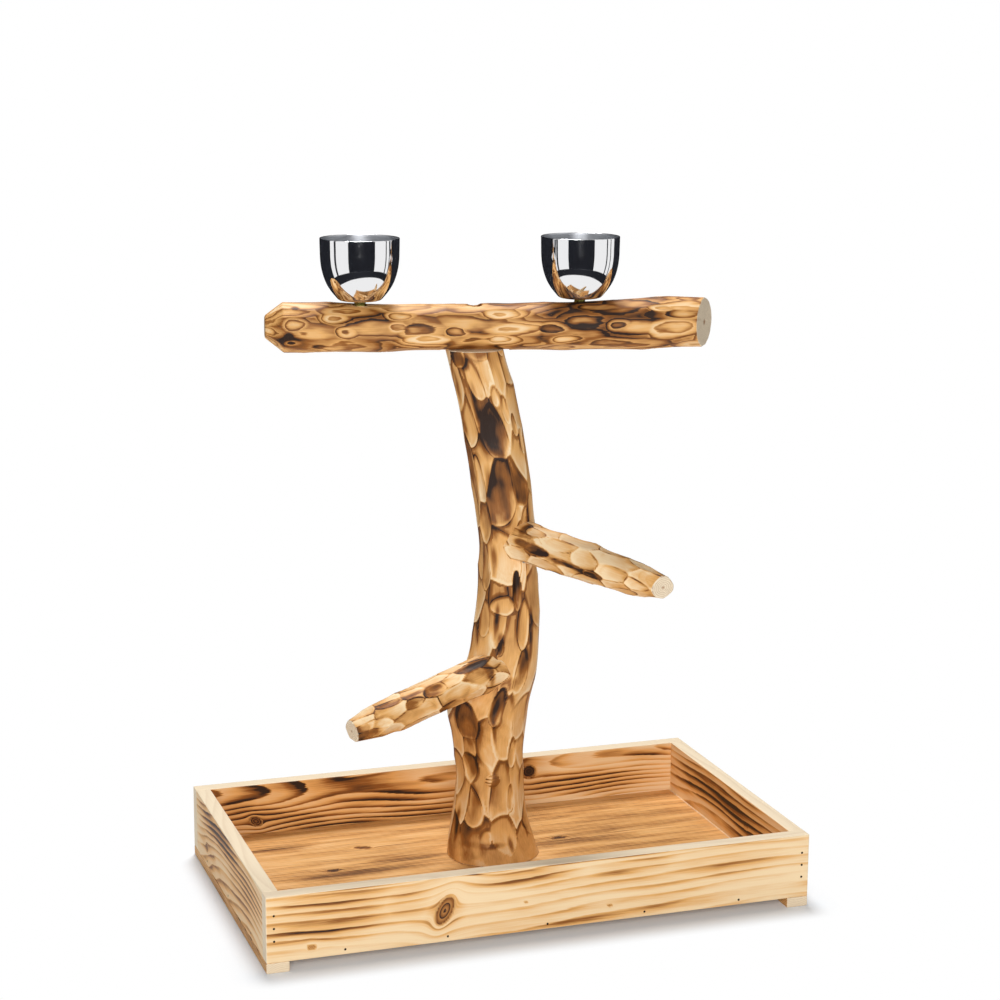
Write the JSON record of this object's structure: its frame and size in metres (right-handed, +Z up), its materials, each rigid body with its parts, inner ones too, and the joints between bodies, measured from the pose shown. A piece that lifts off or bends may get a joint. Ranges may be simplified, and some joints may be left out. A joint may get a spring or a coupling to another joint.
{
  "type": "parrot play stand",
  "caption": "Table-top bird play stand: a nailed wooden tray on runners, a whittled trunk, a log perch that turns on its screw, branches, and steel cups that unscrew.",
  "frame": {"origin": "on the floor, under the centre of the tray", "axes": "+X along the tray to the viewer's right, +Y to the back, +Z up"},
  "size_m": [0.55, 0.33, 0.6535],
  "materials": {
    "board": "torched pine, brushed",
    "panel": "lightly torched pine",
    "runner": "sawn pine",
    "nail": "dark brads",
    "screw": "zinc plated",
    "trunk": "whittled and torched, waxed",
    "perch": "whittled and torched, waxed",
    "branch": "whittled and torched, waxed",
    "dowel": "fluted beech",
    "cup": "mirror polished stainless steel",
    "yellow_zinc": "yellow passivated zinc",
    "brass": "turned"
  },
  "bodies": {
    "root": {"front_board": "board", "back_board": "board", "left_board": "board", "right_board": "board", "floor_panel": "panel", "left_runner": "runner", "right_runner": "runner", "corner_nails": "nail", "floor_nails": "nail", "runner_screws": "screw", "trunk": "trunk", "trunk_screws": "screw", "trunk_washers": "screw", "left_branch": "branch", "left_branch_dowel": "dowel", "left_branch_screw": "screw", "right_branch": "branch", "right_branch_dowel": "dowel", "right_branch_screw": "screw", "perch_screw": "screw", "perch_washer": "screw"},
    "perch": {"perch": "perch", "left_cup_insert": "brass", "right_cup_insert": "brass"},
    "left_cup_thread": {"left_cup_washer": "yellow_zinc"},
    "left_cup_body": {"left_cup": "cup", "left_cup_bolt": "cup", "left_cup_nut": "yellow_zinc"},
    "right_cup_thread": {"right_cup_washer": "yellow_zinc"},
    "right_cup_body": {"right_cup": "cup", "right_cup_bolt": "cup", "right_cup_nut": "yellow_zinc"}
  },
  "joints": [
    {"name": "perch_swivel", "type": "hinge", "parent": "root", "child": "perch", "pos_m": [-0.01156, 0.03067, 0.566], "axis": [0, 0, 1], "continuous": true},
    {"name": "left_cup_rise", "type": "slide", "parent": "perch", "child": "left_cup_thread", "axis": [0, 0, 1], "range_m": [0, 0.01]},
    {"name": "left_cup_turn", "type": "hinge", "parent": "left_cup_thread", "child": "left_cup_body", "pos_m": [-0.12284, 0.05029, 0.5875], "axis": [0, 0, 1], "range_deg": [0, 3600]},
    {"name": "right_cup_rise", "type": "slide", "parent": "perch", "child": "right_cup_thread", "axis": [0, 0, 1], "range_m": [0, 0.01]},
    {"name": "right_cup_turn", "type": "hinge", "parent": "right_cup_thread", "child": "right_cup_body", "pos_m": [0.09185, 0.01243, 0.5875], "axis": [0, 0, 1], "range_deg": [0, 3600]}
  ],
  "couplings": [
    {"joint": "left_cup_rise", "follows": "left_cup_turn", "m_per_rad": 0.00015915},
    {"joint": "right_cup_rise", "follows": "right_cup_turn", "m_per_rad": 0.00015915}
  ]
}
